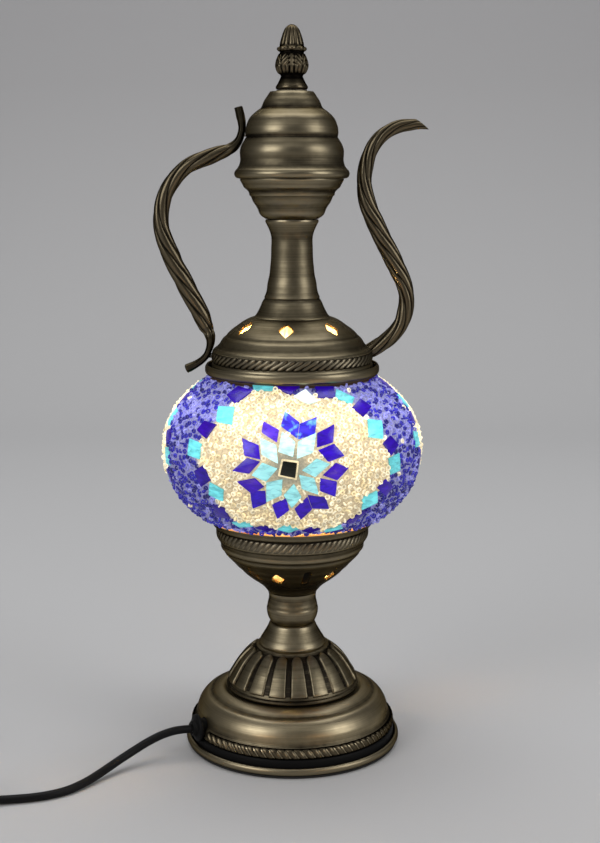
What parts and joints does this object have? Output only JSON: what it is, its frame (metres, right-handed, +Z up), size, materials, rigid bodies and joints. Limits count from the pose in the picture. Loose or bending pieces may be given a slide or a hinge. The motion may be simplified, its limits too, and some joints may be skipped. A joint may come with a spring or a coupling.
{
  "type": "mosaic glass table lamp",
  "caption": "Decorative table lamp shaped like a ewer: round mosaic-glass globe on a stepped metal foot, pierced cap, neck and head with a scrolled handle and spout, finial, mains lead.",
  "frame": {"origin": "on the lamp's axis, at the underside of the foot pad", "axes": "+Z up along the lamp's axis, +X towards the spout, -X towards the handle and the lead's exit, -Y the front"},
  "size_m": [0.388, 0.2045, 0.458],
  "materials": {
    "antique_brass": "antiqued, brushed round, dark patina in the grooves",
    "dark_brass": "darkened",
    "zinc_steel": "zinc plated",
    "plain_brass": "plain",
    "bulb_metal": "rolled thread",
    "bulb_glass": "frosted",
    "glass_mosaic": "glass tiles and seed beads in pale grout, lit from inside",
    "clear_glass": "clear, smooth",
    "rubber_black": "matt",
    "foam_black": "soft foam",
    "cord_black": "satin sheath",
    "plastic_black": "satin",
    "holder_plastic": "heat-resistant, matt",
    "holder_ceramic": "glazed"
  },
  "bodies": {
    "base": {"foot_pad": "foam_black", "bottom_plate": "antique_brass", "seal_ring": "rubber_black", "base_dish": "antique_brass", "fluted_dome": "antique_brass", "stem_cone": "antique_brass", "stem_collar": "antique_brass", "globe_cup": "antique_brass", "threaded_tube": "zinc_steel", "lower_nut": "zinc_steel", "lower_washer": "zinc_steel", "upper_washer": "zinc_steel", "upper_nut": "zinc_steel", "holder_shell": "holder_plastic", "holder_core": "holder_ceramic", "holder_screw_shell": "plain_brass", "holder_contact": "plain_brass", "globe_gasket": "rubber_black", "cord_grommet": "rubber_black", "cord_grip": "plastic_black", "inner_lead": "cord_black", "lead_to_switch": "cord_black", "lead_to_coil": "cord_black", "lead_coil": "cord_black", "lead_to_plug": "cord_black", "switch_lower": "plastic_black", "switch_upper": "plastic_black", "switch_screw_a": "zinc_steel", "switch_screw_b": "zinc_steel", "switch_contact": "plain_brass", "plug_relief": "cord_black", "plug_body": "plastic_black", "plug_pin_a": "plain_brass", "plug_pin_b": "plain_brass"},
    "bulb": {"bulb_contact": "bulb_metal", "bulb_cap": "bulb_metal", "bulb_glass": "bulb_glass", "bulb_stem": "bulb_glass", "bulb_filament": "plain_brass"},
    "upper": {"mosaic_layer": "glass_mosaic", "glass_globe": "clear_glass", "gallery_tray": "antique_brass", "cap_dome": "antique_brass", "neck": "antique_brass", "head_lower": "antique_brass", "head_upper": "antique_brass", "cross_bar": "zinc_steel", "tie_rod": "zinc_steel", "cross_bar_nut": "zinc_steel", "cross_bar_washer": "zinc_steel", "tie_rod_nut": "zinc_steel", "finial_washer": "dark_brass", "handle": "antique_brass", "handle_screw_top": "zinc_steel", "handle_screw_bottom": "zinc_steel", "spout": "antique_brass", "spout_screw": "zinc_steel"},
    "finial": {"finial": "antique_brass"},
    "rocker": {"switch_rocker": "plastic_black"}
  },
  "joints": [
    {"name": "globe_lift", "type": "slide", "parent": "base", "child": "upper", "axis": [0, 0, 1], "range_m": [0, 0.1]},
    {"name": "bulb_turn", "type": "hinge", "parent": "base", "child": "bulb", "pos_m": [0, 0, 0.138], "axis": [0, 0, 1], "continuous": true},
    {"name": "finial_turn", "type": "hinge", "parent": "upper", "child": "finial", "pos_m": [0, 0, 0.422], "axis": [0, 0, 1], "continuous": true},
    {"name": "rocker_tilt", "type": "hinge", "parent": "base", "child": "rocker", "pos_m": [-0.222, -0.11, 0.014], "axis": [0, 1, 0], "range_deg": [0, 16]}
  ]
}
